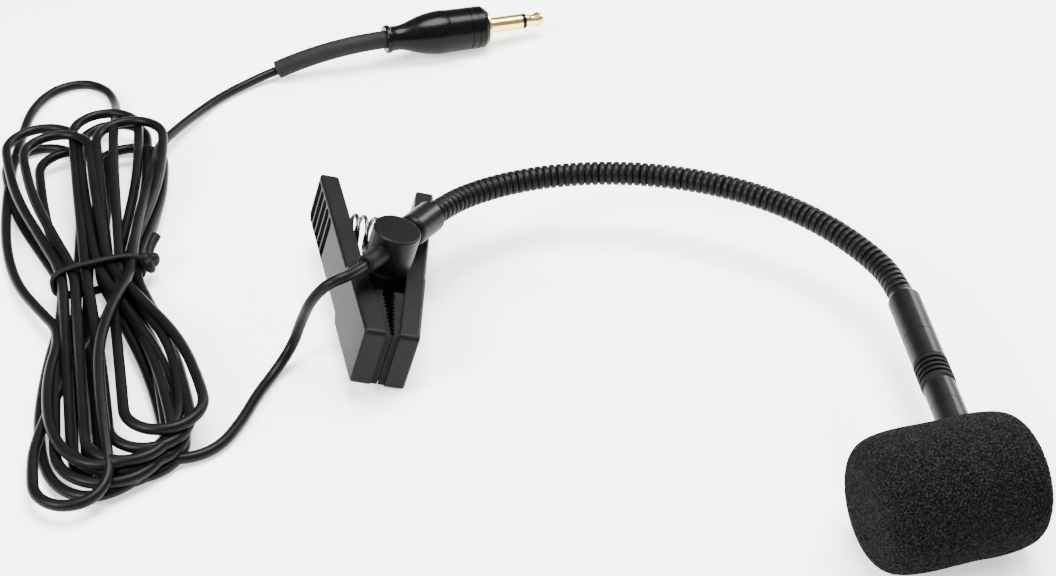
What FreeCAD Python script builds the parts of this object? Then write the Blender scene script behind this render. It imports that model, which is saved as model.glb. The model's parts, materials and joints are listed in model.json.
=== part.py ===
import FreeCAD, Part

import math
import os

from FreeCAD import Placement, Rotation, Vector

# ---------------------------------------------------------------------------
# A clip-on miniature microphone, lying on a table: a spring clip on its side,
# a swivel post on the clip's hinge pin, a bendable neck with the capsule at
# its end inside a foam windscreen, and a thin cable, tied up in a hank, that
# ends in a 3.5 mm mono plug.
#
# Millimetres. +Z is up, z = 0 is the table, and the origin is under the middle
# of the clip, neck and windscreen. Clip parts are drawn in the clip's own
# frame: origin on the hinge pin at the level of the jaws' upper edge, x towards
# the jaw tips, y from the left lever to the right one, z along the hinge pin.
# Round parts are drawn along their own x axis and then placed.
# ---------------------------------------------------------------------------

# Clip
CLIP_ORIGIN = Vector(-46.3, 19.8, 14.1)
CLIP_YAW = -83.2
CLIP_LEAN = 17.0
JAW_REACH = 21.1
HANDLE_REACH = 27.7
JAW_HALF = 5.0
HANDLE_HALF = 11.62
LEVER_THICK = 3.67
JAW_WIDTH = 12.5
HANDLE_WIDTH = 10.3
TOP_STEP = 0.8
STEP_X_TOP = 1.6
STEP_X_BOTTOM = 2.8
LEVER_ROUND = 0.6
JAW_END_ROUND = 1.0
GRIP_SLOTS = 5
GRIP_PITCH = 2.85
GRIP_SLOT_WIDTH = 2.25
GRIP_DEPTH = 0.7
GRIP_START = -26.6
GRIP_RIM = 0.9
GRIP_FOOT = 0.5

# Hinge
PIN_R = 1.2
PIN_CLEARANCE = 0.05
LUG_R = 3.3
LUG_HALF = 3.2
LUG_GAP = 0.12
TOP_LUG_TOP = -0.35
TOP_LUG_BOTTOM = -3.4
MIDDLE_LUG_BOTTOM = -8.4
SCREW_HEAD_R = 2.3
SCREW_HEAD_HEIGHT = 1.2
WASHER_R = 4.3

# Jaw pads
PAD_START = 7.6
PAD_END = 20.7
PAD_MOUTH_GAP = 0.06
PAD_BACK_GAP = 0.95
PAD_TOP = -0.55
PAD_BOTTOM = -12.0
TOOTH_PITCH = 1.1
TOOTH_DEPTH = 0.45

# Clip spring
SPRING_X = -14.8
SPRING_Z = -4.4
SPRING_R = 3.45
SPRING_WIRE_R = 0.42
SPRING_TURNS = 6
SEAT_R = 2.5
SEAT_HEIGHT = 1.0

# Swivel post
POST_R = 4.5
POST_HEIGHT = 8.15
POST_PORT_HEIGHT = 4.5
NECK_PORT_ANGLE = 145.0
CABLE_PORT_ANGLE = -35.5
SPIGOT_R = 2.0
FERRULE_END = 14.5
BARREL_R = 3.1
NECK_START = 15.6
RELIEF_END = 9.7
RELIEF_R = 1.85
CABLE_SPIGOT_R = 1.4

# Neck
NECK_R = 2.35
NECK_STEP = 8.5
NECK_TURNS = (
    -17.7, -15.8, -13.8, -11.8, -9.9, -8.3, -7.2, -6.7, -7.0, -7.7, -9.4, -13.2, -19.3,
)
NECK_LIFTS = (3.0, 2.5, 1.5, 1.0, 0.0, -0.5, -1.0, -2.0, -2.5, -2.0, -0.5, 1.0, -0.5)
NECK_GAP = 0.30
BALL_R = 1.5
BALL_CLEARANCE = 0.06

# Head, as distances along its own axis from the end of the neck
HEAD_R = 3.0
FERRULE_LENGTH = 12.1
COLLAR_LENGTH = 6.9
ISOLATOR_LENGTH = 6.4
SLEEVE_LENGTH = 5.2
HOUSING_LENGTH = 22.0
HOUSING_R = 2.85
HOUSING_BORE_R = 2.4
GRILLE_THICK = 0.6
GASKET_THICK = 0.5
CAPSULE_LENGTH = 3.6
BOARD_THICK = 0.8

# Foam windscreen
FOAM_R = 11.7
FOAM_LENGTH = 29.0
FOAM_SQUARENESS = 5.8
FOAM_SKEW = 16.4
FOAM_CENTRE = Vector(47.7, -38.9, 11.785)
FOAM_BORE_CLEARANCE = 0.06

# Cable
CABLE_R = 1.025
LEAD_ROUTE = (
    (-53.6, 3.4, 21.6), (-60.6, 1.3, 15.8), (-61.5, 7.4, 8.1), (-65.8, 4.9, 1.2),
    (-69.6, -2.8, 1.06), (-70.7, -11.4, 1.1), (-74.4, -18.5, 1.06), (-82.0, -19.4, 3.3),
)
TAIL_ROUTE = (
    (-83.0, 106.7, 1.3), (-89.0, 100.4, 1.1), (-93.5, 92.2, 1.6), (-96.8, 82.9, 3.0),
    (-99.0, 74.5, 4.2),
)

# Hank, in a frame at the tie with y along the hank
HANK_CENTRE = Vector(-103.4, 30.5, 0.0)
HANK_TURN = 13.0
HANK_HEIGHT = 9.5
HANK_EDGE = 2.0
WAIST_HEIGHT = 6.5
HANK_OUTLINE = (
    (7.8, 0), (12.5, 20), (17, 37), (17.2, 48), (10, 58), (-1, 78), (-11, 66), (-17.5, 44),
    (-18.3, 26), (-14, 11), (-7.8, 0), (-9.5, -16), (-12, -32), (-10.5, -47), (-4, -61),
    (4, -60), (12, -50), (17, -38), (13, -19),
)
HANK_PROFILE = (
    (-66, 2.0), (-60, 4.5), (-50, 8.0), (-40, HANK_HEIGHT), (-22, HANK_HEIGHT), (-6, WAIST_HEIGHT),
    (6, WAIST_HEIGHT), (22, HANK_HEIGHT), (44, HANK_HEIGHT), (54, 7.0), (62, 2.6), (82, 2.2),
)
TIE_WIDTH = 2.6
TIE_THICK = 0.8
KNOT_R = 1.9
TIE_END_LENGTH = 6.0

# Plug, drawn from the back of its shell towards the tip
PLUG_BACK = Vector(-53.0, 117.0, 6.35)
PLUG_HEADING = 20.4
PLUG_PITCH = -3.0
SHELL_LENGTH = 24.4
SHELL_R = 5.0
SHELL_WALL = 1.2
SHOULDER_R = 3.7
SHOULDER_THICK = 0.7
SHAFT_R = 1.75
SHAFT_LENGTH = 8.4
SHAFT_BORE_R = 1.15
INSULATOR_THICK = 0.9
INSULATOR_BORE_R = 0.7
TIP_LENGTH = 4.3
TERMINAL_LENGTH = 7.0
SLEEVE_R = 2.05
SLEEVE_END = Vector(-77.3, 110.2, 2.3)

LEVER_ANGLE = math.degrees(math.atan((HANDLE_HALF - JAW_HALF) / (JAW_REACH + HANDLE_REACH)))


def clip_placement():
    """Place of the clip's frame: lying on the right lever's lower edge."""
    lean = Rotation(Vector(1, 0, 0), -CLIP_LEAN)
    return Placement(CLIP_ORIGIN, Rotation(Vector(0, 0, 1), CLIP_YAW).multiply(lean))


def axis_placement(origin, direction):
    """Place that turns local +x onto a direction and keeps local z as upright as it can."""
    x_axis = Vector(direction).normalize()
    y_axis = Vector(0, 0, 1).cross(x_axis).normalize()
    return Placement(origin, Rotation(x_axis, y_axis, x_axis.cross(y_axis), "XYZ"))


def placed(shape, placement):
    """The same solid in another frame."""
    result = shape.copy()
    result.Placement = placement.multiply(result.Placement)
    return result


def clean_fuse(first, *others):
    """Union of solids, with the seams between coplanar faces taken out."""
    return first.multiFuse(list(others)).removeSplitter()


def cylinder_x(radius, start, end):
    return Part.makeCylinder(radius, end - start, Vector(start, 0, 0), Vector(1, 0, 0))


def cylinder_z(radius, bottom, top, x=0.0, y=0.0):
    return Part.makeCylinder(radius, top - bottom, Vector(x, y, bottom))


def box(x_range, y_range, z_range):
    lows = (x_range[0], y_range[0], z_range[0])
    sizes = [high - low for low, high in (x_range, y_range, z_range)]
    return Part.makeBox(*sizes, Vector(*lows))


def turned(profile):
    """Solid of revolution about x, from (x, radius) points of its upper outline."""
    points = [Vector(x, 0, radius) for x, radius in profile]
    face = Part.Face(Part.makePolygon(points + [points[0]]))
    return face.revolve(Vector(0, 0, 0), Vector(1, 0, 0), 360)


def prism(points, bottom, top):
    """Upright prism on an outline of (x, y) points."""
    corners = [Vector(x, y, bottom) for x, y in points]
    face = Part.Face(Part.makePolygon(corners + [corners[0]]))
    return face.extrude(Vector(0, 0, top - bottom))


def mirrored(shape):
    """The matching piece on the other side of the clip's middle plane."""
    return shape.mirror(Vector(0, 0, 0), Vector(0, 1, 0))


def outer_y(x):
    """Outer face of the right lever at a distance x along the clip."""
    return JAW_HALF + (JAW_REACH - x) * math.tan(math.radians(LEVER_ANGLE))


def inner_y(x):
    """Inner face of the right lever at a distance x along the clip."""
    return outer_y(x) - LEVER_THICK / math.cos(math.radians(LEVER_ANGLE))


# --- Clip -------------------------------------------------------------------

def lever_side_profile():
    """Side view of a lever as (x, z): a wide jaw, 45-degree steps, a narrower handle."""
    handle_bottom = -TOP_STEP - HANDLE_WIDTH
    rise = JAW_WIDTH + handle_bottom
    return (
        (-HANDLE_REACH, -TOP_STEP), (STEP_X_TOP, -TOP_STEP), (STEP_X_TOP + TOP_STEP, 0),
        (JAW_REACH, 0), (JAW_REACH, -JAW_WIDTH), (STEP_X_BOTTOM + rise, -JAW_WIDTH),
        (STEP_X_BOTTOM, handle_bottom), (1.3 - HANDLE_REACH, handle_bottom),
        (-HANDLE_REACH, handle_bottom + 1.3),
    )


def lever_bar():
    """The right lever's bar, with rounded long edges and ends."""
    ends = (-HANDLE_REACH, JAW_REACH)
    plan = [(x, outer_y(x)) for x in ends] + [(x, inner_y(x)) for x in reversed(ends)]
    slab = prism(plan, -JAW_WIDTH - 1, 1)
    corners = [Vector(x, 0, z) for x, z in lever_side_profile()]
    side = Part.Face(Part.makePolygon(corners + [corners[0]])).extrude(Vector(0, 20, 0))
    jaw_corners = [e for e in side.Edges if e.BoundBox.XMin > JAW_REACH - 0.01 and e.BoundBox.ZLength < 0.01]
    side = side.makeFillet(JAW_END_ROUND, jaw_corners)
    bar = slab.common(side)
    outer = [e for e in bar.Edges if all(v.Y > outer_y(v.X) - 0.01 for v in e.Vertexes)]
    ends_in = [
        e for e in bar.Edges
        if abs(e.Vertexes[0].X - e.Vertexes[-1].X) < 0.01 and e not in outer
        and all(abs(v.Y - inner_y(v.X)) < 0.01 for v in e.Vertexes)
        and abs(e.Vertexes[0].X + HANDLE_REACH) < 0.01
    ]
    return bar.makeFillet(LEVER_ROUND, outer + ends_in)


def grip_slots():
    """Cutters for the slots across the right handle's outer face."""
    cutters = []
    bottom = -TOP_STEP - HANDLE_WIDTH + GRIP_FOOT
    top = -TOP_STEP - GRIP_RIM
    for index in range(GRIP_SLOTS):
        start = GRIP_START + index * GRIP_PITCH
        end = start + GRIP_SLOT_WIDTH
        floor = [(start, outer_y(start) - GRIP_DEPTH), (end, outer_y(end) - GRIP_DEPTH)]
        mouth = [(end, outer_y(end) + 1), (start, outer_y(start) + 1)]
        slot = prism(floor + mouth, bottom, top)
        ends = [e for e in slot.Edges if e.BoundBox.ZMin > top - 0.01 and e.BoundBox.YLength > 0.5]
        cutters.append(slot.makeFillet(0.8, ends))
    return cutters


def spring_seat():
    """Boss on the right lever's inner face that holds the end of the spring."""
    reach = inner_y(SPRING_X)
    post = Part.makeCylinder(
        SEAT_R, SEAT_HEIGHT + 0.8, Vector(SPRING_X, reach - SEAT_HEIGHT, SPRING_Z), Vector(0, 1, 0)
    )
    return post


def hinge_lug(bottom, top, far_side):
    """A lug from the right lever's inner face to the pin, reaching far_side beyond it."""
    arm = box((-LUG_HALF, LUG_HALF), (-far_side, inner_y(LUG_HALF) + 0.6), (bottom, top))
    return arm.fuse(cylinder_z(LUG_R, bottom, top))


def lever(lugs):
    """A right-hand lever with its grip slots, spring seat and hinge lugs."""
    body = clean_fuse(lever_bar(), spring_seat(), *lugs)
    body = body.cut(grip_slots())
    return body.cut(cylinder_z(PIN_R + PIN_CLEARANCE, -JAW_WIDTH, 1)).removeSplitter()


def jaw_pad():
    """Right-hand toothed jaw liner: teeth run across the jaw and the pair gapes inwards."""
    count = int((PAD_END - PAD_START) / TOOTH_PITCH)
    points = [(PAD_START, inner_y(PAD_START)), (PAD_END, inner_y(PAD_END))]
    slope = (PAD_BACK_GAP - PAD_MOUTH_GAP) / (PAD_END - PAD_START)
    for index in range(count):
        crest = PAD_END - index * TOOTH_PITCH
        root = crest - TOOTH_PITCH / 2
        points.append((crest, PAD_MOUTH_GAP + slope * (PAD_END - crest)))
        points.append((root, PAD_MOUTH_GAP + slope * (PAD_END - root) + TOOTH_DEPTH))
    points.append((PAD_START, PAD_BACK_GAP))
    return prism(points, PAD_BOTTOM, PAD_TOP)


def clip_spring():
    """Compression spring between the handles, its axis across the clip."""
    start = SPRING_WIRE_R + 0.05 - inner_y(SPRING_X + SPRING_R + SPRING_WIRE_R)
    height = -2 * start
    helix = Part.makeHelix(height / SPRING_TURNS, height, SPRING_R)
    wire = Part.Circle(Vector(SPRING_R, 0, 0), Vector(0, 1, 0), SPRING_WIRE_R).toShape()
    coil = Part.Wire(helix).makePipeShell([Part.Wire(wire)], True, True)
    place = Placement(Vector(SPRING_X, start, SPRING_Z), Rotation(Vector(1, 0, 0), -90))
    return placed(coil, place)


def clip_parts():
    """Both halves of the clip, as name and solid in the clip's frame."""
    gap = LUG_GAP / 2
    handle_bottom = -TOP_STEP - HANDLE_WIDTH
    outer_lugs = (
        hinge_lug(TOP_LUG_BOTTOM + gap, TOP_LUG_TOP, 2.6),
        hinge_lug(handle_bottom + 0.05, MIDDLE_LUG_BOTTOM - gap, 0),
    )
    middle_lug = (hinge_lug(MIDDLE_LUG_BOTTOM + gap, TOP_LUG_BOTTOM - gap, 0),)
    return {
        "clip_lever_left": mirrored(lever(outer_lugs)),
        "clip_lever_right": lever(middle_lug),
        "jaw_pad_left": mirrored(jaw_pad()),
        "jaw_pad_right": jaw_pad(),
        "clip_spring": clip_spring(),
    }


# --- Swivel post --------------------------------------------------------------

def port_placement(angle):
    """Frame of a side port of the post: x outwards from the post's axis."""
    return Placement(Vector(0, 0, POST_PORT_HEIGHT), Rotation(Vector(0, 0, 1), angle))


def swivel_post():
    post = cylinder_z(POST_R, 0.0, POST_HEIGHT)
    rims = [e for e in post.Edges if e.BoundBox.ZLength < 0.01]
    post = post.makeFillet(0.3, rims)
    neck_port = placed(cylinder_x(SPIGOT_R, 2.2, POST_R + 1), port_placement(NECK_PORT_ANGLE))
    cable_port = placed(
        cylinder_x(CABLE_SPIGOT_R, 2.2, POST_R + 1), port_placement(CABLE_PORT_ANGLE)
    )
    screw_hole = cylinder_z(PIN_R, -1, POST_PORT_HEIGHT - SPIGOT_R - 0.5)
    return post.cut([neck_port, cable_port, screw_hole])


def neck_ferrule():
    """Root ferrule: a narrow collar at the post, a rounded shoulder and a long barrel."""
    rise = BARREL_R - 2.5
    shoulder = [(7.3 - 1.2 * math.cos(math.radians(a)), 2.5 + rise * math.sin(math.radians(a)))
                for a in (0, 22.5, 45, 67.5, 90)]
    profile = [(2.2, 0), (2.2, SPIGOT_R), (4.0, SPIGOT_R), (4.0, 2.5)]
    profile += shoulder
    profile += [(FERRULE_END - 0.3, BARREL_R), (FERRULE_END, BARREL_R - 0.3), (FERRULE_END, 0)]
    body = placed(turned(profile), port_placement(NECK_PORT_ANGLE))
    spigot = placed(cylinder_x(SPIGOT_R, 2.2, 6), port_placement(NECK_PORT_ANGLE))
    bore = cylinder_x(SPIGOT_R, FERRULE_END - 2, FERRULE_END + 1)
    bore = placed(bore, port_placement(NECK_PORT_ANGLE))
    body = body.cut(cylinder_z(POST_R, -1, POST_HEIGHT + 1)).fuse(spigot).cut(bore)
    return body.removeSplitter()


def cable_strain_relief():
    """Short rubber sleeve where the cable leaves the post, opposite the neck."""
    profile = [
        (4.0, 0), (4.0, RELIEF_R), (RELIEF_END - 0.5, RELIEF_R - 0.05),
        (RELIEF_END - 0.15, RELIEF_R - 0.15), (RELIEF_END, RELIEF_R - 0.4), (RELIEF_END, 0),
    ]
    body = placed(turned(profile), port_placement(CABLE_PORT_ANGLE))
    spigot = placed(cylinder_x(CABLE_SPIGOT_R, 2.2, 6), port_placement(CABLE_PORT_ANGLE))
    body = body.cut(cylinder_z(POST_R, -1, POST_HEIGHT + 1)).fuse(spigot)
    return body.removeSplitter()


def pivot_screw():
    """Shoulder screw: the hinge pin of the clip, screwed into the post, head underneath."""
    under = -TOP_STEP - HANDLE_WIDTH
    top = POST_PORT_HEIGHT - SPIGOT_R - 0.5
    shank = cylinder_z(PIN_R, under - 0.5, top)
    head = cylinder_z(SCREW_HEAD_R, under - SCREW_HEAD_HEIGHT, under)
    head = head.makeFillet(0.3, [e for e in head.Edges if e.BoundBox.ZMax < under - 0.5])
    slot = box((-3, 3), (-0.3, 0.3), (under - 2, under - SCREW_HEAD_HEIGHT + 0.5))
    return clean_fuse(head, shank).cut(slot)


def friction_washer():
    ring = cylinder_z(WASHER_R, TOP_LUG_TOP + 0.02, 0.0)
    return ring.cut(cylinder_z(PIN_R + PIN_CLEARANCE, -1, 1))


def post_parts():
    return {
        "swivel_post": swivel_post(),
        "neck_ferrule": neck_ferrule(),
        "cable_strain_relief": cable_strain_relief(),
        "pivot_screw": pivot_screw(),
        "friction_washer": friction_washer(),
    }


# --- Neck -----------------------------------------------------------------------

def bend(turn, lift):
    """Axis, radius and angle of a neck piece's arc, in the frame at its start."""
    spin = Vector(0, -lift, turn)
    angle = spin.Length
    axis = Vector(spin).normalize()
    radius = NECK_STEP / math.radians(angle)
    centre = axis.cross(Vector(1, 0, 0)) * radius
    return axis, centre, angle


def neck_piece(turn, lift, first, last):
    """One neck piece: an arc of round bar, a ball at its end, a socket at its start."""
    axis, centre, angle = bend(turn, lift)
    start = 0.0 if first else angle * NECK_GAP / NECK_STEP
    end = angle if last else angle * (1 - NECK_GAP / NECK_STEP)
    rim = Part.Circle(Vector(0, 0, 0), Vector(1, 0, 0), NECK_R)
    face = Part.Face(Part.Wire(rim.toShape()))
    face.rotate(centre, axis, start)
    piece = face.revolve(centre, axis, end - start)
    if first:
        root = NECK_START - FERRULE_END
        neck = cylinder_x(NECK_R, -root, 0.0)
        piece = piece.multiFuse([neck, cylinder_x(SPIGOT_R, -root - 2, 0.5)]).removeSplitter()
    else:
        piece = piece.cut(Part.makeSphere(BALL_R + BALL_CLEARANCE))
    if not last:
        tip = Rotation(axis, angle).multVec(centre * -1) + centre
        piece = piece.fuse(Part.makeSphere(BALL_R, tip)).removeSplitter()
    return piece


def neck_frames():
    """Frames at the start of each neck piece and, last, at the end of the neck."""
    root = clip_placement().multiply(port_placement(NECK_PORT_ANGLE))
    start = root.multVec(Vector(NECK_START, 0, 0))
    frame = axis_placement(start, root.Rotation.multVec(Vector(1, 0, 0)))
    frames = [frame]
    for turn, lift in zip(NECK_TURNS, NECK_LIFTS):
        axis, centre, angle = bend(turn, lift)
        spin = Rotation(axis, angle)
        step = Placement(spin.multVec(centre * -1) + centre, spin)
        frames.append(frames[-1].multiply(step))
    return frames


def neck_parts(frames):
    parts = {}
    count = len(NECK_TURNS)
    for index in range(count):
        piece = neck_piece(NECK_TURNS[index], NECK_LIFTS[index], index == 0, index == count - 1)
        parts[f"neck_{index + 1:02d}"] = placed(piece, frames[index])
    return parts


# --- Head -----------------------------------------------------------------------

def head_ferrule():
    profile = [(0, 0), (0, 2.5), (1.2, HEAD_R), (FERRULE_LENGTH, HEAD_R), (FERRULE_LENGTH, 0)]
    return turned(profile)


def head_collar():
    start = FERRULE_LENGTH
    end = start + COLLAR_LENGTH
    profile = [
        (start, 0), (start, HEAD_R - 0.12), (start + 0.12, HEAD_R), (end, HEAD_R), (end, 0),
    ]
    return turned(profile)


def isolator(start):
    """Rubber decoupler with four slots across its front."""
    end = start + ISOLATOR_LENGTH
    radius = HEAD_R + 0.08
    body = turned([
        (start, 0), (start, radius - 0.2), (start + 0.2, radius), (end - 0.5, radius),
        (end, HOUSING_R), (end, 0),
    ])
    slots = []
    for index in range(4):
        x = start + 1.1 + index * 1.15
        ring = cylinder_x(radius + 1, x, x + 0.55).cut(cylinder_x(radius - 0.7, x - 1, x + 2))
        slots.append(ring.common(box((x - 1, x + 2), (-5, 5), (-1.2, 5))))
    return body.cut(slots)


def capsule_sleeve(start):
    end = start + SLEEVE_LENGTH
    return turned([(start, 0), (start, HOUSING_R), (end - 0.12, HOUSING_R),
                   (end, HOUSING_R - 0.12), (end, 0)])


def capsule_parts(start):
    """The capsule's housing tube and what it holds, back to front."""
    end = start + HOUSING_LENGTH
    housing = cylinder_x(HOUSING_R, start, end)
    housing = housing.cut(cylinder_x(HOUSING_BORE_R, start + 6, end + 1))
    grille = cylinder_x(HOUSING_BORE_R, end - GRILLE_THICK, end)
    holes = [cylinder_x(0.35, end - 1, end + 1)]
    for index in range(6):
        angle = math.radians(60 * index)
        hole = cylinder_x(0.35, end - 1, end + 1)
        hole.translate(Vector(0, 1.35 * math.cos(angle), 1.35 * math.sin(angle)))
        holes.append(hole)
    gasket_front = end - GRILLE_THICK
    gasket_back = gasket_front - GASKET_THICK
    gasket = cylinder_x(HOUSING_BORE_R, gasket_back, gasket_front)
    gasket = gasket.cut(cylinder_x(1.8, gasket_back - 1, gasket_front + 1))
    capsule_back = gasket_back - CAPSULE_LENGTH
    capsule = cylinder_x(HOUSING_BORE_R, capsule_back, gasket_back)
    capsule = capsule.cut(cylinder_x(0.6, gasket_back - 0.4, gasket_back + 1))
    board = cylinder_x(HOUSING_BORE_R - 0.1, capsule_back - BOARD_THICK, capsule_back)
    return {
        "capsule_housing": housing,
        "capsule_grille": grille.cut(holes),
        "capsule_gasket": gasket,
        "electret_capsule": capsule,
        "capsule_board": board,
    }


def head_parts(frame):
    collar_end = FERRULE_LENGTH + COLLAR_LENGTH
    isolator_end = collar_end + ISOLATOR_LENGTH
    sleeve_end = isolator_end + SLEEVE_LENGTH
    parts = {
        "head_ferrule": head_ferrule(),
        "head_collar": head_collar(),
        "isolator": isolator(collar_end),
        "capsule_sleeve": capsule_sleeve(isolator_end),
    }
    parts.update(capsule_parts(sleeve_end))
    return {name: placed(shape, frame) for name, shape in parts.items()}


def foam_barrel():
    """Solid of revolution between a cylinder and an ellipsoid, its axis along x."""
    power = 2 / FOAM_SQUARENESS
    flank_points = []
    for angle in (2, 7, 14, 24, 36, 50, 70, 90, 110, 130, 144, 156, 166, 173, 178):
        c = math.cos(math.radians(angle))
        s = math.sin(math.radians(angle))
        x = -math.copysign(abs(c) ** power, c) * FOAM_LENGTH / 2
        flank_points.append(Vector(x, 0, s ** power * FOAM_R))
    flank = Part.BSplineCurve()
    flank.interpolate(flank_points)
    first, last = flank_points[0], flank_points[-1]
    corners = [last, Vector(last.x, 0, 0), Vector(first.x, 0, 0), first]
    edges = [flank.toShape()]
    edges += [Part.LineSegment(a, b).toShape() for a, b in zip(corners, corners[1:])]
    return Part.Face(Part.Wire(edges)).revolve(Vector(0, 0, 0), Vector(1, 0, 0), 360)


def foam_windscreen(frame):
    """Barrel of foam with its axis across the capsule, and a blind bore for the capsule."""
    barrel = placed(foam_barrel(), Placement(FOAM_CENTRE, Rotation(Vector(0, 0, 1), FOAM_SKEW)))
    depth = FERRULE_LENGTH + COLLAR_LENGTH + ISOLATOR_LENGTH + SLEEVE_LENGTH + HOUSING_LENGTH
    bore = cylinder_x(HOUSING_R + FOAM_BORE_CLEARANCE, 20, depth + 0.5)
    return barrel.cut(placed(bore, frame))


# --- Cable ----------------------------------------------------------------------

def arc_between(before, corner, after):
    """Tangent arc that rounds a corner of a route: its ends, middle and radius."""
    back = before - corner
    ahead = after - corner
    cut = 0.45 * min(back.Length, ahead.Length)
    turn = math.pi - back.getAngle(ahead)
    radius = cut / math.tan(turn / 2)
    start = corner + Vector(back).normalize() * cut
    end = corner + Vector(ahead).normalize() * cut
    inward = (Vector(back).normalize() + Vector(ahead).normalize()).normalize()
    sagitta = radius * (1 / math.cos(turn / 2) - 1)
    return start, corner + inward * sagitta, end, radius


def cable_tube(name, points):
    """Tube along straight runs joined by tangent arcs."""
    edges = []
    radii = []
    here = points[0]
    for before, corner, after in zip(points, points[1:], points[2:]):
        start, middle, end, radius = arc_between(before, corner, after)
        edges.append(Part.LineSegment(here, start).toShape())
        edges.append(Part.Arc(start, middle, end).toShape())
        radii.append(round(radius, 1))
        here = end
    edges.append(Part.LineSegment(here, points[-1]).toShape())
    path = Part.Wire(edges)
    rim = Part.Circle(points[0], points[1] - points[0], CABLE_R)
    tube = path.makePipeShell([Part.Wire(rim.toShape())], True, True)
    expected = math.pi * CABLE_R ** 2 * path.Length
    print(f"{name}: length {path.Length:.1f}, radii {radii}, volume ratio "
          f"{tube.Volume / expected:.4f}, lowest {tube.BoundBox.ZMin:.2f}")
    return tube


def hank_placement():
    return Placement(HANK_CENTRE, Rotation(Vector(0, 0, 1), HANK_TURN))


def cable_hank():
    """Outer shape of the tied hank: two fans of loops with a waist between them."""
    curve = Part.BSplineCurve()
    curve.interpolate([Vector(x, y, 0) for x, y in HANK_OUTLINE], PeriodicFlag=True)
    base = Part.Face(Part.Wire(curve.toShape()))
    hank = base.extrude(Vector(0, 0, HANK_HEIGHT))
    top = [e for e in hank.Edges if e.BoundBox.ZMin > HANK_HEIGHT - 0.01]
    crown = [(y, z) for y, z in HANK_PROFILE] + [(HANK_PROFILE[-1][0], 0), (HANK_PROFILE[0][0], 0)]
    corners = [Vector(-30, y, z) for y, z in crown]
    side = Part.Face(Part.makePolygon(corners + [corners[0]])).extrude(Vector(60, 0, 0))
    return placed(hank.makeChamfer(HANK_EDGE, top).common(side), hank_placement())


def cable_tie(hank):
    """Band round the hank's waist, shaped by the hank itself."""
    waist = max(abs(x) for x, y in HANK_OUTLINE if y == 0) + 0.4
    outer = box((-waist - TIE_THICK, waist + TIE_THICK), (-TIE_WIDTH / 2, TIE_WIDTH / 2),
                (0, WAIST_HEIGHT + TIE_THICK))
    edges = [e for e in outer.Edges
             if e.BoundBox.YLength > TIE_WIDTH / 2 and e.BoundBox.ZMin > WAIST_HEIGHT]
    band = placed(outer.makeFillet(2.5, edges), hank_placement())
    return band.cut(hank)


def tie_knot():
    """Knot at the side of the tie, with one cut end standing away from it."""
    centre = Vector(9.9, -0.4, 4.4)
    knot = Part.makeSphere(KNOT_R, centre)
    end = Part.makeCylinder(0.6, TIE_END_LENGTH, centre, Vector(0.25, 1, 0.35))
    return placed(knot.fuse(end).removeSplitter(), hank_placement())


def cable_parts(relief_exit):
    hank = cable_hank()
    tie = cable_tie(hank)
    knot = tie_knot().cut([hank, tie])
    lead = cable_tube("cable_lead", [relief_exit] + [Vector(*p) for p in LEAD_ROUTE])
    tail = cable_tube("cable_tail", [SLEEVE_END] + [Vector(*p) for p in TAIL_ROUTE])
    tail = tail.cut(plug_sleeve(plug_placement()))
    return {
        "cable_lead": lead.cut(hank),
        "cable_hank": hank,
        "cable_tail": tail.cut(hank),
        "cable_tie": tie,
        "tie_knot": knot,
    }


# --- Plug -----------------------------------------------------------------------

def plug_placement():
    heading = math.radians(PLUG_HEADING)
    pitch = math.radians(PLUG_PITCH)
    direction = Vector(
        math.cos(pitch) * math.cos(heading), math.cos(pitch) * math.sin(heading), math.sin(pitch)
    )
    return axis_placement(PLUG_BACK, direction)


def plug_shell():
    """Hollow bullet-shaped shell with a rear rim, a waist and two grooves near the front."""
    flank = Part.BSplineCurve()
    flank.interpolate([Vector(1.3, 0, 3.0), Vector(3.6, 0, 2.9), Vector(7.2, 0, 4.0),
                       Vector(11.0, 0, SHELL_R - 0.1), Vector(15.0, 0, SHELL_R)])
    front = SHELL_LENGTH
    corners = [
        Vector(15.0, 0, SHELL_R), Vector(front - 0.9, 0, SHELL_R - 0.1),
        Vector(front, 0, SHELL_R - 0.7), Vector(front, 0, 0), Vector(0, 0, 0),
        Vector(0, 0, 3.05), Vector(0.25, 0, 3.25), Vector(1.0, 0, 3.25), Vector(1.3, 0, 3.0),
    ]
    edges = [flank.toShape()]
    edges += [Part.LineSegment(a, b).toShape() for a, b in zip(corners, corners[1:])]
    body = Part.Face(Part.Wire(edges)).revolve(Vector(0, 0, 0), Vector(1, 0, 0), 360)
    grooves = []
    for x in (front - 4.4, front - 2.7):
        groove = cylinder_x(SHELL_R + 1, x, x + 0.25)
        grooves.append(groove.cut(cylinder_x(SHELL_R - 0.25, x - 1, x + 1)))
    cavity = turned([(4.0, 0), (4.0, 1.6), (10.0, SHELL_R - SHELL_WALL),
                     (front + 1, SHELL_R - SHELL_WALL), (front + 1, 0)])
    entry = cylinder_x(CABLE_R, -1, 5)
    return body.cut(grooves + [cavity, entry])


def plug_shaft():
    """Ground contact: threaded base inside the shell, shoulder flange and tubular shaft."""
    front = SHELL_LENGTH
    base = front - 6.0
    inside = SHELL_R - SHELL_WALL
    face = front + SHOULDER_THICK
    shaft = turned([
        (base, 0), (base, inside), (front, inside), (front, SHOULDER_R), (face - 0.15, SHOULDER_R),
        (face, SHOULDER_R - 0.15), (face, SHAFT_R), (face + SHAFT_LENGTH, SHAFT_R),
        (face + SHAFT_LENGTH, 0),
    ])
    return shaft.cut(cylinder_x(SHAFT_BORE_R, base - 1, face + SHAFT_LENGTH + 1))


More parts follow.
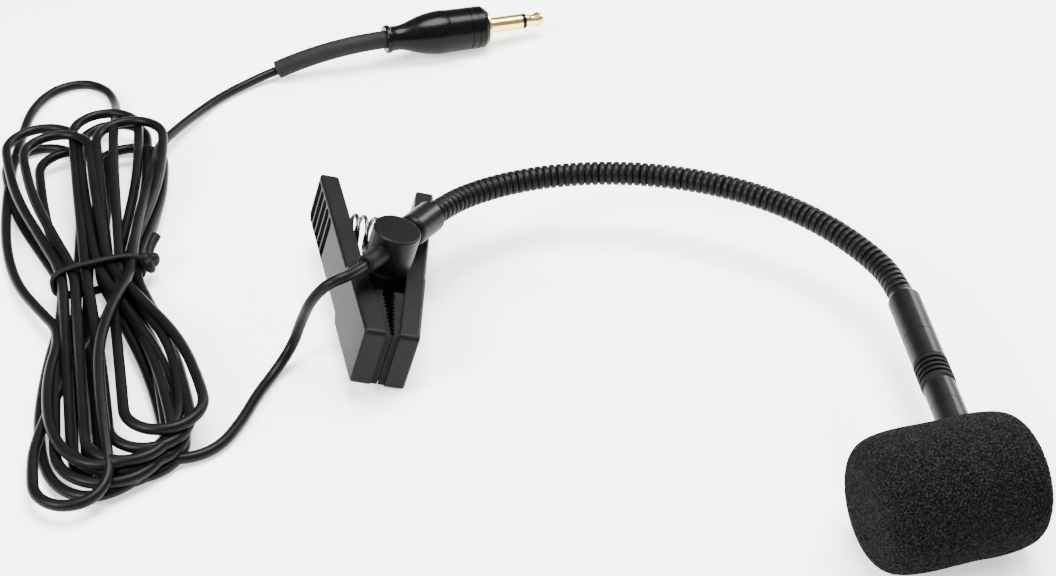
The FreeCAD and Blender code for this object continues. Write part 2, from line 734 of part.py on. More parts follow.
def plug_insulator():
    """Insulating tube through the shaft, with the ring that shows before the tip."""
    back = SHELL_LENGTH - 7.0
    ring = SHELL_LENGTH + SHOULDER_THICK + SHAFT_LENGTH
    body = turned([
        (back, 0), (back, SHAFT_BORE_R), (ring, SHAFT_BORE_R), (ring, SHAFT_R),
        (ring + INSULATOR_THICK, SHAFT_R), (ring + INSULATOR_THICK, 0),
    ])
    return body.cut(cylinder_x(INSULATOR_BORE_R, back - 1, ring + 3))


def plug_tip():
    """Tip contact: a flared, blunt tip on a rod that runs back to its terminal."""
    start = SHELL_LENGTH + SHOULDER_THICK + SHAFT_LENGTH + INSULATOR_THICK
    return turned([
        (SHELL_LENGTH - 7.0 - TERMINAL_LENGTH, 0), (SHELL_LENGTH - 7.0 - TERMINAL_LENGTH, 0.5),
        (SHELL_LENGTH - 7.0, 0.5), (SHELL_LENGTH - 7.0, INSULATOR_BORE_R),
        (start, INSULATOR_BORE_R), (start, SHAFT_R - 0.1), (start + 0.7, SHAFT_R - 0.3),
        (start + 1.5, 1.3), (start + 2.1, 1.3), (start + 3.0, SHAFT_R - 0.05),
        (start + 3.5, SHAFT_R - 0.1), (start + TIP_LENGTH, 1.25), (start + TIP_LENGTH, 0),
    ])


def ground_lug():
    """Solder lug of the ground contact, a flat strip inside the shell."""
    base = SHELL_LENGTH - 6.0
    return box((base - 7.5, base), (-1.0, 1.0), (1.9, 2.3))


def plug_sleeve(placement):
    """Rubber sleeve behind the plug, one arc that bends down to the table."""
    start = placement.multVec(Vector(0, 0, 0))
    tangent = placement.Rotation.multVec(Vector(-1, 0, 0))
    chord = SLEEVE_END - start
    axis = tangent.cross(chord).normalize()
    inward = axis.cross(tangent)
    radius = chord.Length ** 2 / (2 * chord.dot(inward))
    angle = 2 * math.degrees(tangent.getAngle(chord))
    rim = Part.Circle(start, tangent, SLEEVE_R)
    face = Part.Face(Part.Wire(rim.toShape()))
    sleeve = face.revolve(start + inward * radius, axis, angle)
    length = radius * math.radians(angle)
    print(f"plug_sleeve: length {length:.1f}, radius {radius:.1f}, lowest {sleeve.BoundBox.ZMin:.2f}")
    return sleeve


def plug_parts():
    place = plug_placement()
    parts = {
        "plug_shell": plug_shell(),
        "plug_shaft": plug_shaft(),
        "plug_insulator": plug_insulator(),
        "plug_tip": plug_tip(),
        "ground_lug": ground_lug(),
    }
    parts = {name: placed(shape, place) for name, shape in parts.items()}
    parts["plug_sleeve"] = plug_sleeve(place)
    return parts


# --- Assembly -------------------------------------------------------------------

def all_parts():
    clip = clip_placement()
    frames = neck_frames()
    relief = clip.multiply(port_placement(CABLE_PORT_ANGLE))
    parts = {}
    for group in (clip_parts(), post_parts()):
        parts.update({name: placed(shape, clip) for name, shape in group.items()})
    parts.update(neck_parts(frames))
    parts.update(head_parts(frames[-1]))
    parts["foam_windscreen"] = foam_windscreen(frames[-1])
    parts.update(cable_parts(relief.multVec(Vector(RELIEF_END, 0, 0))))
    parts.update(plug_parts())
    return parts


def main():
    os.makedirs("parts", exist_ok=True)
    for name, shape in all_parts().items():
        if not shape.isValid() or len(shape.Solids) < 1:
            print("problem with", name)
        shape.exportStep(f"parts/{name}.step")


main()
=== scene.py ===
import json
import math

import bmesh
import bpy
from mathutils import Matrix, Vector, noise

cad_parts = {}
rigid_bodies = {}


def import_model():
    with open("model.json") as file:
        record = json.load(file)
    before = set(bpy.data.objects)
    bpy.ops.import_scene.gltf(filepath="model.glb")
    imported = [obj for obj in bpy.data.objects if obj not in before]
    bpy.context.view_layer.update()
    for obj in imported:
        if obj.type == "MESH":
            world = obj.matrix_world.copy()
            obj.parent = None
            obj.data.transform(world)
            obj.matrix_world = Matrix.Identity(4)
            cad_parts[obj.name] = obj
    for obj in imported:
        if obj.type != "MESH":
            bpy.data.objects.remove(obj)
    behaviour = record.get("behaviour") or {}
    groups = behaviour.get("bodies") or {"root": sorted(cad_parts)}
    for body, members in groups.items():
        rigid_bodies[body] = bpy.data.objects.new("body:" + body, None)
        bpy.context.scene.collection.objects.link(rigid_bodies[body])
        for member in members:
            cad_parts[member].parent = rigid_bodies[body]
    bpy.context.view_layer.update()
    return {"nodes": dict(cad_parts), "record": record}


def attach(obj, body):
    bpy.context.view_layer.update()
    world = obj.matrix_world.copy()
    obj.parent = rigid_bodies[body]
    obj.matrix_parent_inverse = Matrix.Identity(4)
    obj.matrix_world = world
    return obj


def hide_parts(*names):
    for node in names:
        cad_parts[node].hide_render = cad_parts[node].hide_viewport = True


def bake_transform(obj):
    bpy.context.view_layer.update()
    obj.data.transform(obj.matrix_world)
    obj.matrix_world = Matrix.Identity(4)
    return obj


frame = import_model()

# Lengths in this script are millimetres until mm() turns them into metres.
MM = 0.001

# Clip frame, as in the part's source
CLIP_ORIGIN = Vector((-46.3, 19.8, 14.1))
CLIP_YAW = math.radians(-83.2)
CLIP_LEAN = math.radians(17.0)
CLIP_ROTATION = Matrix.Rotation(CLIP_YAW, 3, "Z") @ Matrix.Rotation(-CLIP_LEAN, 3, "X")

# Neck: it starts at a port of the post, and its ridges and grooves are counted in rings
NECK_PORT_REACH = 15.6
NECK_PORT_ANGLE = math.radians(145)
NECK_PORT_HEIGHT = 4.5
NECK_END = Vector((48.466, 11.057, 13.023))
NECK_R = 2.36
NECK_COUNT = 13
RINGS_PER_PIECE = 6
GROOVE_DEPTH = 0.46
GROOVE_HALF_WIDTH = 0.13
RIDGE_SHOULDER = 0.2
RIDGE_MARKS = (0.0, 0.05, 0.10, 0.16, 0.24, 0.36, 0.5, 0.64, 0.76, 0.84, 0.90, 0.95)
ROOT_MARKS = (-0.77, -0.64, -0.5, -0.36, -0.24, -0.16, -0.10, -0.05)

# Clip spring, its axis along y in the clip's frame
SPRING_X = -14.8
SPRING_Z = -4.4
SPRING_R = 3.45
SPRING_HALF = 5.55
SPRING_TURNS = 6.0
SPRING_WIRE_R = 0.40
SPRING_STEPS = 260
END_CROWDING = 0.055

# Foam: voxels of its surface, and the pits of its open cells
VOXEL = 0.00022
COARSE_CELLS = 1.7
FINE_CELLS = 3.6
PIT_DEPTH = 0.34
DEEPEST_PIT = 0.9

# Cable
CABLE_R = 1.025
RELIEF_EXIT = (-49.41, 11.48, 20.05)
LEAD = (
    (-51.6, 6.8, 21.3), (-55.4, 5.0, 20.9), (-58.9, 6.0, 16.4), (-61.4, 8.6, 9.6),
    (-63.4, 8.6, 3.8), (-66.4, 4.2, 1.06), (-68.9, -2.0, 1.06), (-70.9, -9.6, 1.06),
    (-73.8, -16.2, 1.06), (-78.6, -19.6, 1.3), (-84.6, -20.2, 2.0),
)
TAIL = (
    (-99.0, 74.5, 4.2), (-96.8, 82.9, 3.0), (-93.5, 92.2, 1.6), (-89.0, 100.4, 1.1),
    (-83.0, 106.7, 1.3), (-77.3, 110.2, 2.3),
)
SLEEVE_INSIDE = (-74.6, 111.3, 2.7)

# Hank, in a frame at the tie with y along the hank
HANK_CENTRE = Vector((-103.4, 30.5, 0.0))
HANK_TURN = Matrix.Rotation(math.radians(13.0), 3, "Z")
SLOT_PITCH = 2.2
ROW_PITCH = 2.1
OCTAGON_HALF_SIDE = 0.414

# Each lobe: (column, row) of the slot it leaves the tie by, then of the one it comes back to,
# the x of its left and right legs, its reach along y, the height of its end.
TOP_LOBES = (
    ((-3, 0), (-1, 0), -17.5, -2.4, 52.0, 1.1),
    ((0, 0), (3, 0), 1.2, 14.8, 47.5, 1.3),
    ((-3, 1), (0, 1), -10.4, 3.4, 46.0, 3.3),
    ((-2, 0), (2, 0), -1.6, 12.4, 54.5, 3.4),
    ((-3, 2), (0, 2), -16.8, -1.8, 53.0, 5.5),
    ((-1, 1), (3, 1), 1.4, 15.2, 44.0, 3.6),
    ((-1, 2), (1, 0), -2.9, 10.9, 55.5, 5.9),
    ((-2, 2), (1, 2), -13.0, 0.6, 46.5, 7.4),
    ((1, 1), (2, 1), 2.0, 15.8, 48.5, 7.6),
)
BOTTOM_LOBES = (
    ((-1, 0), (0, 0), -4.5, 12.5, -57.0, 1.1),
    ((3, 0), (-3, 1), -9.6, 9.6, -59.5, 3.2),
    ((0, 1), (-2, 0), -6.8, 9.2, -58.0, 1.2),
    ((2, 0), (-3, 2), -6.8, 11.6, -57.5, 3.4),
    ((0, 2), (-1, 1), -2.2, 12.8, -56.0, 3.2),
    ((3, 1), (-1, 2), -0.2, 14.0, -54.6, 5.4),
    ((1, 0), (-2, 2), -4.2, 10.6, -57.0, 5.4),
    ((1, 2), (1, 1), 2.8, 16.6, -52.5, 7.3),
)
# The lobe that runs outside the tie, the long top loop, and the long bottom loop
OUTSIDE = (
    (8.0, -14.0, 4.6), (12.4, -28.0, 5.4), (13.0, -47.0, 5.3), (7.0, -56.5, 5.2),
    (-4.2, -57.5, 5.1), (-10.2, -48.0, 5.0), (-10.6, -31.0, 4.2), (-7.4, -17.0, 3.6),
    (-11.6, -8.0, 3.0), (-15.6, 2.0, 2.0), (-17.6, 14.0, 1.2), (-17.9, 27.0, 1.1),
    (-16.8, 43.0, 1.1), (-14.2, 58.0, 1.1), (-11.8, 69.0, 1.1), (-6.8, 76.4, 1.1),
    (0.2, 78.0, 1.1), (5.2, 73.2, 1.1), (6.6, 64.6, 2.0), (6.4, 55.0, 5.2),
    (5.6, 44.0, 8.2), (5.0, 28.0, 7.6), (4.6, 12.0, 6.2),
)
LONG_BOTTOM = (
    (3.8, -7.0, 5.0), (0.0, -17.0, 3.8), (-6.4, -27.0, 3.0), (-10.4, -38.0, 3.0),
    (-13.2, -48.0, 3.2), (-13.6, -54.4, 3.2), (-13.4, -59.8, 3.2), (-9.6, -63.6, 3.2),
    (-4.2, -63.6, 3.4), (-0.6, -59.8, 4.4), (-0.6, -54.0, 6.0), (-1.0, -40.0, 7.9),
    (-0.6, -27.0, 8.0), (2.4, -15.0, 7.4), (5.4, -7.0, 6.4),
)
LEAD_IN = (
    (2.6, -59.6, 1.9), (-5.4, -60.8, 1.3), (-11.4, -54.4, 1.06), (-12.8, -41.0, 1.06),
    (-11.0, -25.0, 1.06), (-8.0, -11.0, 1.06),
)
TAIL_OUT = ((8.6, 12.0, 6.8), (12.6, 28.0, 7.2))

# Tie, in the hank's frame
TIE_STEPS = 72
TIE_HALF_WIDTH = 8.55
TIE_MIDDLE = 3.75
TIE_HALF_HEIGHT = 3.35
TIE_SQUARING = 0.62
TIE_THIN_R = 0.62
TIE_WIDE_R = 0.86
KNOT_STEPS = 60
KNOT_SIZE = 0.75
KNOT_R = 0.95
TIE_END = ((9.9, 0.6, 4.6), (10.2, 2.6, 5.2), (10.9, 4.6, 5.9), (12.0, 6.4, 6.6))


def mm(point):
    """A point given in millimetres, in metres."""
    return Vector(point) * MM


def clip_point(x, y, z):
    """A point of the clip's frame in the row frame, in millimetres."""
    return CLIP_ORIGIN + CLIP_ROTATION @ Vector((x, y, z))


def hank_point(x, y, z):
    """A point of the hank's frame in the row frame, in millimetres."""
    return HANK_CENTRE + HANK_TURN @ Vector((x, y, z))


def slot_point(slot):
    """Centre of a strand inside the tie."""
    return Vector((slot[0] * SLOT_PITCH, 0.0, CABLE_R + 0.03 + slot[1] * ROW_PITCH))


def link(name, mesh):
    obj = bpy.data.objects.new(name, mesh)
    bpy.context.scene.collection.objects.link(obj)
    return obj


# --- Camera, floor and light ------------------------------------------------------

def add_camera():
    data = bpy.data.cameras.new("camera")
    data.sensor_width = 36.0
    data.lens = 63.02
    data.clip_start = 0.01
    camera = bpy.data.objects.new("camera", data)
    camera.location = (-0.0200, -0.2563, 0.2192)
    camera.rotation_euler = (math.radians(52.652), 0.0, 0.0)
    bpy.context.scene.collection.objects.link(camera)
    bpy.context.scene.camera = camera


def add_light(name, location, target, size, power):
    data = bpy.data.lights.new(name, "AREA")
    data.shape = "DISK"
    data.size = size
    data.energy = power
    light = bpy.data.objects.new(name, data)
    light.location = location
    aim = Vector(target) - Vector(location)
    light.rotation_euler = aim.to_track_quat("-Z", "Y").to_euler()
    bpy.context.scene.collection.objects.link(light)


def add_studio():
    mesh = bpy.data.meshes.new("floor")
    edge = 3.0
    mesh.from_pydata([(-edge, -edge, -0.0002), (edge, -edge, -0.0002), (edge, edge, -0.0002),
                      (-edge, edge, -0.0002)], [], [(0, 1, 2, 3)])
    floor = link("floor", mesh)
    paper = bpy.data.materials.new("floor_paper")
    paper.use_nodes = True
    shader = paper.node_tree.nodes["Principled BSDF"]
    shader.inputs["Base Color"].default_value = (0.9, 0.9, 0.9, 1.0)
    shader.inputs["Roughness"].default_value = 0.9
    shader.inputs["Emission Color"].default_value = (1.0, 1.0, 1.0, 1.0)
    shader.inputs["Emission Strength"].default_value = 0.9
    mesh.materials.append(paper)
    world = bpy.data.worlds.new("studio")
    world.use_nodes = True
    world.node_tree.nodes["Background"].inputs["Color"].default_value = (1.0, 1.0, 1.0, 1.0)
    world.node_tree.nodes["Background"].inputs["Strength"].default_value = 0.35
    bpy.context.scene.world = world
    add_light("key", (-0.42, -0.30, 0.42), (-0.02, 0.0, 0.0), 0.30, 11.0)
    add_light("top", (0.05, 0.12, 0.60), (0.0, 0.02, 0.0), 0.40, 16.0)
    add_light("rim", (0.35, 0.45, 0.30), (0.0, 0.02, 0.0), 0.22, 5.0)


# --- Materials ---------------------------------------------------------------------

def new_material(name, colour, roughness, metallic=0.0):
    material = bpy.data.materials.new(name)
    material.use_nodes = True
    shader = material.node_tree.nodes["Principled BSDF"]
    if metallic < 0.5:
        shader.inputs["Specular IOR Level"].default_value = 0.08
    shader.inputs["Base Color"].default_value = (*colour, 1.0)
    shader.inputs["Roughness"].default_value = roughness
    shader.inputs["Metallic"].default_value = metallic
    return material, shader


def noise_node(tree, scale, detail=3.0, stretch=None):
    coordinates = tree.nodes.new("ShaderNodeTexCoord")
    texture = tree.nodes.new("ShaderNodeTexNoise")
    texture.inputs["Scale"].default_value = scale
    texture.inputs["Detail"].default_value = detail
    source = coordinates.outputs["Object"]
    if stretch:
        mapping = tree.nodes.new("ShaderNodeMapping")
        mapping.inputs["Scale"].default_value = stretch
        tree.links.new(source, mapping.inputs["Vector"])
        source = mapping.outputs["Vector"]
    tree.links.new(source, texture.inputs["Vector"])
    return texture


def vary(tree, source, target, low, high, start=0.35, end=0.65):
    """Maps a 0..1 texture onto a colour or grey socket through a ramp."""
    ramp = tree.nodes.new("ShaderNodeValToRGB")
    ramp.color_ramp.elements[0].position = start
    ramp.color_ramp.elements[0].color = (*low, 1.0)
    ramp.color_ramp.elements[1].position = end
    ramp.color_ramp.elements[1].color = (*high, 1.0)
    tree.links.new(source, ramp.inputs["Fac"])
    tree.links.new(ramp.outputs["Color"], target)


def add_bump(tree, shader, source, strength, distance):
    bump = tree.nodes.new("ShaderNodeBump")
    bump.inputs["Strength"].default_value = strength
    bump.inputs["Distance"].default_value = distance
    tree.links.new(source, bump.inputs["Height"])
    tree.links.new(bump.outputs["Normal"], shader.inputs["Normal"])


def grained(name, dark, light, rough_low, rough_high, grain, patch, bump, metallic=0.0, stretch=None):
    """A surface with a fine grain in its bump and slow changes of colour and gloss."""
    material, shader = new_material(name, dark, rough_low, metallic)
    tree = material.node_tree
    patches = noise_node(tree, patch, 4.0, stretch)
    vary(tree, patches.outputs["Fac"], shader.inputs["Base Color"], dark, light)
    grains = noise_node(tree, grain, 2.0, stretch)
    vary(tree, grains.outputs["Fac"], shader.inputs["Roughness"], (rough_low,) * 3, (rough_high,) * 3)
    add_bump(tree, shader, grains.outputs["Fac"], bump, 0.00004)
    return material


def foam_material():
    material, shader = new_material("foam_cells", (0.005, 0.005, 0.0052), 0.95)
    tree = material.node_tree
    coordinates = tree.nodes.new("ShaderNodeTexCoord")
    cells = tree.nodes.new("ShaderNodeTexVoronoi")
    cells.inputs["Scale"].default_value = 2700.0
    tree.links.new(coordinates.outputs["Object"], cells.inputs["Vector"])
    fine = noise_node(tree, 3400.0, 3.0)
    vary(tree, fine.outputs["Fac"], shader.inputs["Base Color"], (0.0006, 0.0006, 0.0007),
         (0.0190, 0.0190, 0.0195), 0.46, 0.74)
    add_bump(tree, shader, cells.outputs["Distance"], 0.9, 0.0003)
    shader.inputs["Specular IOR Level"].default_value = 0.06
    return material


def make_materials():
    black = (0.0014, 0.0014, 0.0015)
    grey = (0.0028, 0.0028, 0.0029)
    return {
        "clip_black": grained("clip_plastic", (0.0022, 0.0022, 0.0023), (0.0034, 0.0034, 0.0035),
                              0.42, 0.52, 5200.0, 90.0, 0.25),
        "pad_rubber": grained("pad_rubber", black, grey, 0.62, 0.75, 4200.0, 300.0, 0.4),
        "spring_steel": grained("spring_steel", (0.05, 0.05, 0.05), (0.09, 0.088, 0.085),
                                0.22, 0.34, 3000.0, 400.0, 0.15, 1.0),
        "post_black": grained("post_paint", black, (0.0026, 0.0026, 0.0027), 0.30, 0.40, 5200.0,
                              160.0, 0.2),
        "washer_black": grained("washer_plastic", black, grey, 0.5, 0.6, 3000.0, 200.0, 0.2),
        "screw_steel": grained("screw_steel", (0.30, 0.30, 0.30), (0.42, 0.42, 0.42), 0.25, 0.4,
                               3000.0, 300.0, 0.2, 1.0),
        "relief_rubber": grained("relief_rubber", black, grey, 0.52, 0.64, 4200.0, 220.0, 0.3),
        "neck_black": grained("neck_coating", (0.0016, 0.0016, 0.0017), (0.0034, 0.0034, 0.0035),
                              0.36, 0.50, 4200.0, 260.0, 0.25),
        "head_black": grained("head_paint", (0.0020, 0.0020, 0.0021), (0.0036, 0.0036, 0.0037),
                              0.34, 0.44, 5200.0, 180.0, 0.2),
        "isolator_rubber": grained("isolator_rubber", black, grey, 0.6, 0.7, 4200.0, 260.0, 0.3),
        "grille_steel": grained("grille_steel", (0.2, 0.2, 0.2), (0.3, 0.3, 0.3), 0.3, 0.4,
                                3000.0, 300.0, 0.2, 1.0),
        "capsule_can": grained("capsule_can", (0.6, 0.6, 0.6), (0.7, 0.7, 0.7), 0.2, 0.3,
                               3000.0, 300.0, 0.1, 1.0),
        "board_green": grained("board_resin", (0.02, 0.12, 0.05), (0.03, 0.16, 0.06), 0.4, 0.5,
                               2000.0, 300.0, 0.2),
        "foam_black": foam_material(),
        "cable_black": grained("cable_jacket", (0.0014, 0.0014, 0.0015), (0.0026, 0.0026, 0.0027),
                               0.36, 0.46, 3600.0, 120.0, 0.18),
        "tie_black": grained("tie_band", (0.0018, 0.0018, 0.0019), (0.0036, 0.0036, 0.0037), 0.5, 0.62,
                             3600.0, 260.0, 0.4),
        "plug_black": grained("plug_gloss", (0.0012, 0.0012, 0.0013), (0.0022, 0.0022, 0.0023), 0.20,
                              0.28, 2600.0, 110.0, 0.06),
        "plug_gold": grained("plug_gold", (0.80, 0.58, 0.22), (0.90, 0.68, 0.30), 0.16, 0.24,
                             2600.0, 140.0, 0.08, 1.0, (1.0, 5.0, 5.0)),
        "ring_black": grained("ring_gloss", black, grey, 0.2, 0.3, 2600.0, 200.0, 0.1),
        "sleeve_rubber": grained("sleeve_rubber", (0.0062, 0.0062, 0.0063), (0.0095, 0.0095, 0.0096),
                                 0.55, 0.66, 3200.0, 150.0, 0.4),
    }


def dress(obj, name, materials):
    """Gives a new piece its material."""
    obj.data.materials.clear()
    obj.data.materials.append(materials[name])


def dress_nodes(materials):
    slots = {part["node"]: part["material_slot"] for part in frame["record"]["subparts"]}
    for node, obj in frame["nodes"].items():
        material = materials[slots[node]]
        if not obj.material_slots:
            obj.data.materials.append(material)
        for item in obj.material_slots:
            item.material = material


# --- Swept meshes --------------------------------------------------------------------

def transport_frames(path, closed=False):
    """A frame at each point of a path, turned as little as possible from one to the next."""
    count = len(path)
    tangents = []
    for index in range(count):
        if closed:
            ahead, back = path[(index + 1) % count], path[index - 1]
        else:
            ahead, back = path[min(index + 1, count - 1)], path[max(index - 1, 0)]
        tangents.append((ahead - back).normalized())
    side = tangents[0].orthogonal().normalized()
    if abs(tangents[0].z) < 0.9:
        side = Vector((0, 0, 1)).cross(tangents[0]).normalized()
    frames = []
    for tangent in tangents:
        side = (side - tangent * side.dot(tangent)).normalized()
        frames.append((side, tangent.cross(side)))
    return frames


def sweep(name, path, section, closed=False):
    """Mesh through rings of (a, b) offsets; section(index) gives the ring at a path point."""
    frames = transport_frames(path, closed)
    verts = []
    for index, (centre, (side, up)) in enumerate(zip(path, frames)):
        for a, b in section(index):
            verts.append((centre + side * a + up * b) * MM)
    ring = len(section(0))
    rings = len(path)
    faces = []
    for index in range(rings if closed else rings - 1):
        following = (index + 1) % rings
        for corner in range(ring):
            nearby = (corner + 1) % ring
            faces.append((index * ring + corner, index * ring + nearby,
                          following * ring + nearby, following * ring + corner))
    if not closed:
        faces.append(tuple(reversed(range(ring))))
        faces.append(tuple(range((rings - 1) * ring, rings * ring)))
    mesh = bpy.data.meshes.new(name)
    mesh.from_pydata(verts, [], faces)
    mesh.validate()
    fixed = bmesh.new()
    fixed.from_mesh(mesh)
    bmesh.ops.recalc_face_normals(fixed, faces=fixed.faces)
    fixed.to_mesh(mesh)
    fixed.free()
    for face in mesh.polygons:
        face.use_smooth = len(face.vertices) == 4
    return link(name, mesh)


def round_section(radius, count=24):
    angles = [2 * math.pi * step / count for step in range(count)]
    return [(radius * math.cos(angle), radius * math.sin(angle)) for angle in angles]


def spline(points, fraction):
    """Catmull-Rom curve through points; fraction runs from 0 to len(points) - 1."""
    last = len(points) - 1
    index = min(int(fraction), last - 1)
    t = fraction - index
    p1, p2 = points[index], points[index + 1]
    p0 = points[index - 1] if index > 0 else p1 * 2 - p2
    p3 = points[index + 2] if index + 2 <= last else p2 * 2 - p1
    return ((p1 * 2) + (p2 - p0) * t + (p0 * 2 - p1 * 5 + p2 * 4 - p3) * t * t
            + (p1 * 3 - p0 - p2 * 3 + p3) * t * t * t) * 0.5


# --- Cable -----------------------------------------------------------------------------

def lobe_points(lobe):
    """Control points of one lobe of the hank, between its two slots in the tie."""
    start, end, left, right, reach, height = lobe
    leaves, returns = slot_point(start), slot_point(end)
    if start[0] < end[0] or (start[0] == end[0] and start[1] < end[1]):
        near, far = left, right
    else:
        near, far = right, left
    sign = 1.0 if reach > 0 else -1.0
    radius = (right - left) / 2
    middle = (left + right) / 2
    straight = abs(reach) - radius
    lean = OCTAGON_HALF_SIDE * radius
    towards = 1.0 if far > near else -1.0

    def leg(slot, x, share, spread, climb):
        return (slot.x + (x - slot.x) * spread, sign * straight * share,
                slot.z + (height - slot.z) * climb)

    return [
        leg(leaves, near, 0.26, 0.36, 0.3),
        leg(leaves, near, 0.60, 0.82, 0.8),
        (near, sign * (straight - lean), height),
        (near, sign * (straight + lean), height),
        (middle - towards * lean, sign * abs(reach), height),
        (middle + towards * lean, sign * abs(reach), height),
        (far, sign * (straight + lean), height),
        (far, sign * (straight - lean), height),
        leg(returns, far, 0.60, 0.82, 0.8),
        leg(returns, far, 0.26, 0.36, 0.3),
    ]


def cable_route():
    """Every control point of the cable, from the strain relief to the plug's sleeve."""
    hank = list(LEAD_IN)
    for index, top in enumerate(TOP_LOBES):
        hank.append(slot_point(top[0]))
        hank += lobe_points(top)
        hank.append(slot_point(top[1]))
        if index < len(BOTTOM_LOBES):
            hank += lobe_points(BOTTOM_LOBES[index])
    hank += OUTSIDE
    hank.append(slot_point((2, 2)))
    hank += LONG_BOTTOM
    hank.append(slot_point((3, 2)))
    hank += TAIL_OUT
    placed = [hank_point(*point) for point in hank]
    ends = [Vector(point) for point in (RELIEF_EXIT, *LEAD)]
    return ends + placed + [Vector(point) for point in (*TAIL, SLEEVE_INSIDE)]


def add_cable(materials):
    route = cable_route()
    data = bpy.data.curves.new("cable", "CURVE")
    data.dimensions = "3D"
    data.resolution_u = 8
    data.bevel_depth = CABLE_R * MM
    data.bevel_resolution = 5
    data.use_fill_caps = True
    line = data.splines.new("NURBS")
    line.points.add(len(route) - 1)
    for point, place in zip(line.points, route):
        point.co = (*mm(place), 1.0)
    line.order_u = 3
    line.use_endpoint_u = True
    cable = link("cable", data)
    dress(cable, "cable_black", materials)
    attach(cable, "base")
    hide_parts("cable_lead", "cable_hank", "cable_tail")
    return cable


def tie_band():
    """Band round the waist of the hank: a rounded oblong that the strands fill."""
    path = []
    for step in range(TIE_STEPS):
        angle = 2 * math.pi * step / TIE_STEPS
        c, s = math.cos(angle), math.sin(angle)
        x = TIE_HALF_WIDTH * math.copysign(abs(c) ** TIE_SQUARING, c)
        z = TIE_MIDDLE + TIE_HALF_HEIGHT * math.copysign(abs(s) ** TIE_SQUARING, s)
        path.append(hank_point(x, -0.5 + 0.16 * x, z))
    oval = [(TIE_THIN_R * math.cos(a), TIE_WIDE_R * math.sin(a))
            for a in (2 * math.pi * step / 16 for step in range(16))]
    return sweep("tie_loop", path, lambda index: oval, True)


def tie_knot():
    """Trefoil knot beside the hank."""
    path = []
    for step in range(KNOT_STEPS):
        angle = 2 * math.pi * step / KNOT_STEPS
        x = 9.9 + KNOT_SIZE * (math.sin(angle) + 0.9 * math.sin(2 * angle))
        y = 0.9 + KNOT_SIZE * (math.cos(angle) - 0.9 * math.cos(2 * angle))
        z = 4.3 + 0.8 * math.sin(3 * angle)
        path.append(hank_point(x, y, z))
    return sweep("tie_knot_turns", path, lambda index: round_section(KNOT_R, 14), True)


def tie_end():
    """The band's cut end, which stands out of the knot and grows a little thicker."""
    knots = [hank_point(*point) for point in TIE_END]
    path = [spline(knots, 3 * step / 18) for step in range(19)]
    return sweep("tie_end", path, lambda index: round_section(0.72 + 0.014 * index, 14))


def add_tie(materials):
    """Band, knot and cut end of the hank's tie."""
    band, knot, end = tie_band(), tie_knot(), tie_end()
    for piece in (band, knot, end):
        dress(piece, "tie_black", materials)
        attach(piece, "base")
    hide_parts("cable_tie")
    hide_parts("tie_knot")
    return [band, knot, end]


# --- Neck ----------------------------------------------------------------------------

def ring_radius(position):
    """Radius of the ridged hose at a position counted in rings."""
    distance = abs(position - round(position))
    groove = GROOVE_DEPTH * math.exp(-(distance / GROOVE_HALF_WIDTH) ** 2)
    return NECK_R - groove - 0.25 * max(0, RIDGE_SHOULDER - distance) ** 2


def neck_hinges():
    """The neck's hinges from root to head: sideways and lifting ones by turns."""
    joints = {joint["name"]: joint for joint in frame["record"]["behaviour"]["joints"]}
    hinges = []
    for index in range(1, NECK_COUNT):
        kind = "bend" if index % 2 else "lift"
        hinges.append(joints[f"neck_{kind}_{(index + 1) // 2}"])
    return hinges


def neck_marks(index):
    """Ring positions along one length of hose, which reaches half a piece past a hinge each way."""
    low = max(index - 0.5, 0.0)
    high = min(index + 0.5, float(NECK_COUNT))
    first = round(low * RINGS_PER_PIECE)
    rings = round((high - low) * RINGS_PER_PIECE)
    marks = [first + ring + sample for ring in range(rings) for sample in RIDGE_MARKS]
    marks.append(first + rings)
    return list(ROOT_MARKS) + marks if index == 0 else marks


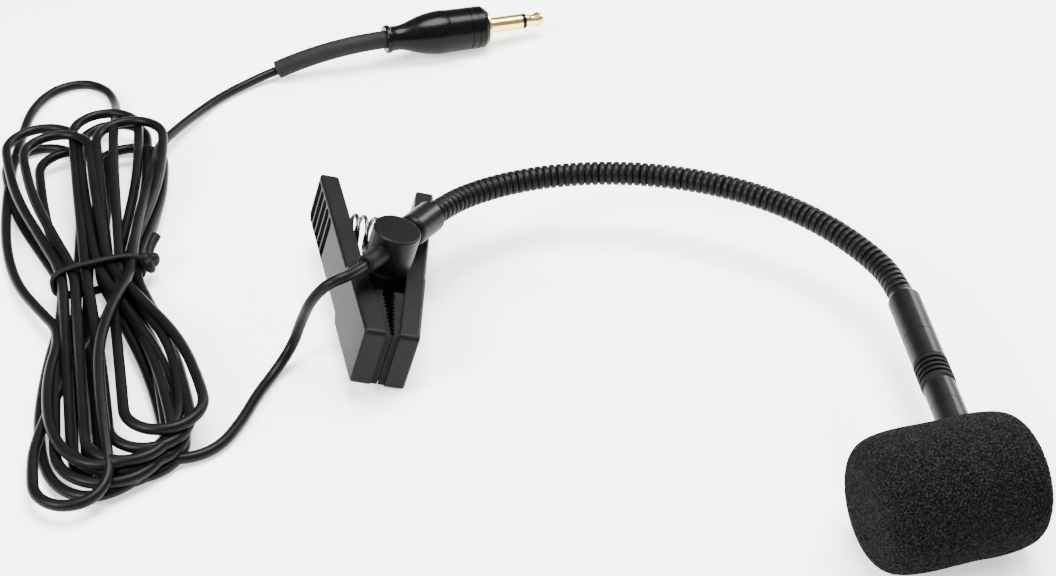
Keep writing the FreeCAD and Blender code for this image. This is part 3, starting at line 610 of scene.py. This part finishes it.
def add_neck(materials):
    """Ridged hose in one length per hinge; the first length goes with the root's body, the last with
    the head's, the lengths between stay unattached.
    """
    hinges = neck_hinges()
    start = clip_point(NECK_PORT_REACH * math.cos(NECK_PORT_ANGLE),
                       NECK_PORT_REACH * math.sin(NECK_PORT_ANGLE), NECK_PORT_HEIGHT)
    knots = [start] + [Vector(hinge["pos_m"]) / MM for hinge in hinges] + [NECK_END]
    chain = [hinge["parent"] for hinge in hinges] + [hinges[-1]["child"]]
    for index in range(NECK_COUNT + 1):
        marks = neck_marks(index)
        path = [spline(knots, min(mark / RINGS_PER_PIECE, NECK_COUNT)) for mark in marks]
        piece = sweep(f"hose_{index:02d}", path,
                      lambda place, marks=marks: round_section(ring_radius(marks[place]), 36))
        dress(piece, "neck_black", materials)
        if index == 0:
            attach(piece, chain[0])
        elif index == NECK_COUNT:
            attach(piece, chain[-1])
        else:
            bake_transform(piece)
        if index < NECK_COUNT:
            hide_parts(f"neck_{index + 1:02d}")


# --- Foam ----------------------------------------------------------------------------

def add_foam(materials):
    """The windscreen: its CAD solid remeshed finely, then pitted all over with open cells."""
    source = frame["nodes"]["foam_windscreen"]
    mesh = source.data.copy()
    foam = link("windscreen_foam", mesh)
    remesh = foam.modifiers.new("cells", "REMESH")
    remesh.mode = "VOXEL"
    remesh.voxel_size = VOXEL
    depsgraph = bpy.context.evaluated_depsgraph_get()
    dense = bpy.data.meshes.new_from_object(foam.evaluated_get(depsgraph))
    foam.modifiers.clear()
    foam.data = dense
    moves = []
    for vertex in dense.vertices:
        place = vertex.co / MM
        coarse = noise.noise(place * COARSE_CELLS)
        fine = noise.noise(place * FINE_CELLS + Vector((7.1, 3.3, 1.7)))
        pit = max(0.0, 0.55 * coarse + 0.75 * fine + 0.12)
        moves.append(vertex.normal * (-PIT_DEPTH * min(pit, DEEPEST_PIT)) * MM)
    for vertex, move in zip(dense.vertices, moves):
        vertex.co += move
    for face in dense.polygons:
        face.use_smooth = True
    dress(foam, "foam_black", materials)
    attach(foam, "windscreen")
    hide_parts("foam_windscreen")


# --- Clip spring -----------------------------------------------------------------------

def add_spring(materials):
    """Coil between the handles, its turns closer at each end, attached to neither lever."""
    path = []
    for step in range(SPRING_STEPS + 1):
        t = step / SPRING_STEPS
        angle = 2 * math.pi * SPRING_TURNS * t
        eased = t - END_CROWDING * math.sin(2 * math.pi * t)
        path.append(clip_point(SPRING_X + SPRING_R * math.cos(angle),
                               -SPRING_HALF + 2 * SPRING_HALF * eased,
                               SPRING_Z - SPRING_R * math.sin(angle)))
    coil = sweep("spring_coil", path, lambda index: round_section(SPRING_WIRE_R, 12))
    dress(coil, "spring_steel", materials)
    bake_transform(coil)
    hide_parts("clip_spring")


# --- Scene ---------------------------------------------------------------------------

def main():
    add_camera()
    materials = make_materials()
    cable = add_cable(materials)
    tie = add_tie(materials)
    add_studio()
    dress_nodes(materials)
    add_neck(materials)
    add_foam(materials)
    add_spring(materials)


main()
